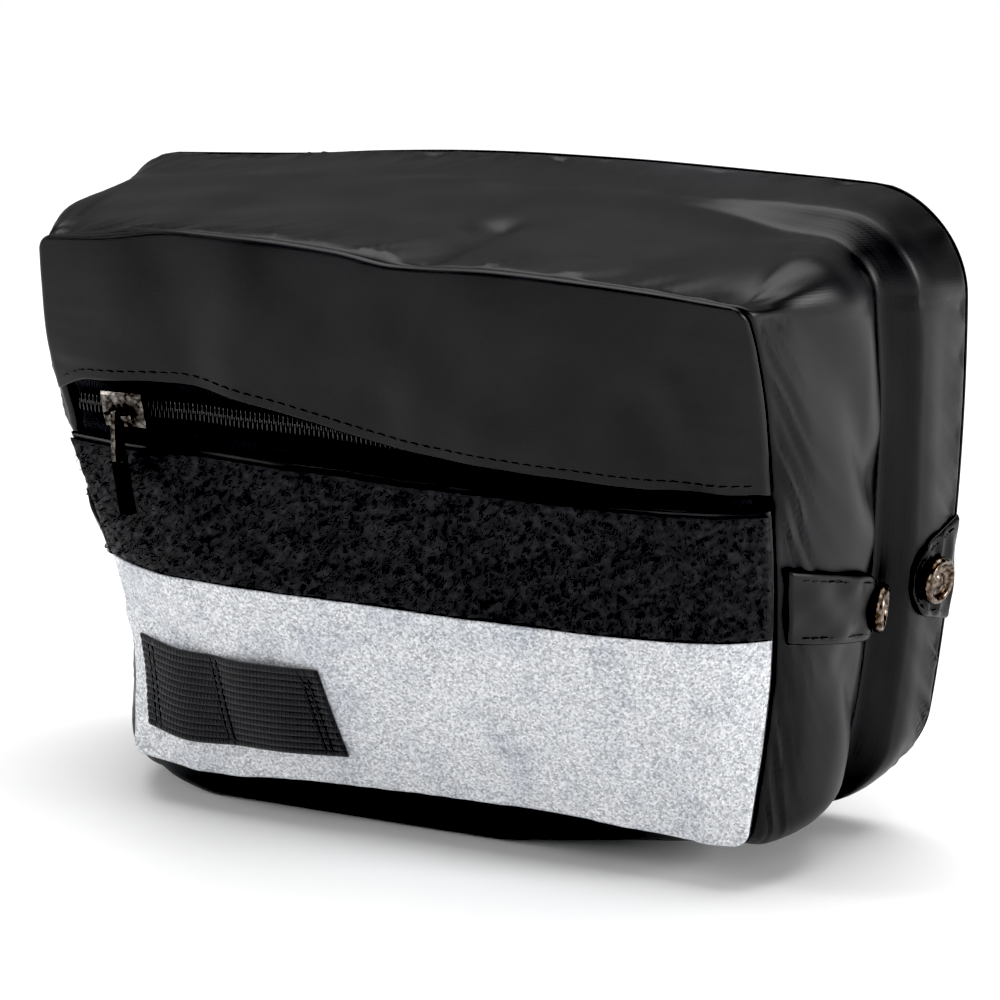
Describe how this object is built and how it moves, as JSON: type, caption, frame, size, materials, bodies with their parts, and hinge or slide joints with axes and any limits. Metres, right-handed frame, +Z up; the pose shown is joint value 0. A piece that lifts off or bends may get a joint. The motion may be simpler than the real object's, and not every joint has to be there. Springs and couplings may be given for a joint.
{
  "type": "waist bag",
  "caption": "Small waist bag of coated cloth with a front zip, a loop tape, a reflective band, a ribbed light keeper, side snap tabs and a belt tunnel on the back",
  "frame": {"origin": "on the floor, in the flat middle of the base the bag rests on", "axes": "+X to the wearer's left along the zip, -Y out of the front with the reflective band, +Y out of the back towards the wearer, +Z up"},
  "size_m": [0.2578, 0.1179, 0.1835],
  "materials": {
    "coated_cloth": "black PVC-coated tarpaulin with a soft sheen",
    "loop_pile": "black hook-and-loop landing pile",
    "reflective_cloth": "light grey glass-bead reflective cloth",
    "ribbed_webbing": "black ribbed webbing",
    "zip_textile": "black woven zip tape and cord",
    "zip_coil": "black nylon coil",
    "dark_metal": "gunmetal plated"
  },
  "bodies": {
    "root": {"gusset": "coated_cloth", "back_panel": "coated_cloth", "front_upper_panel": "coated_cloth", "front_lower_panel": "coated_cloth", "loop_strip": "loop_pile", "reflective_band": "reflective_cloth", "light_keeper": "ribbed_webbing", "zip_tape_upper": "zip_textile", "zip_tape_lower": "zip_textile", "zip_chain": "zip_coil", "zip_slider": "dark_metal", "zip_pull_tab": "dark_metal", "zip_pull_link": "zip_textile", "front_tab_right": "coated_cloth", "back_tab_right": "coated_cloth", "front_tab_left": "coated_cloth", "back_tab_left": "coated_cloth", "front_snap_right": "dark_metal", "back_snap_right": "dark_metal", "front_snap_left": "dark_metal", "back_snap_left": "dark_metal", "belt_tunnel": "ribbed_webbing"}
  },
  "joints": []
}
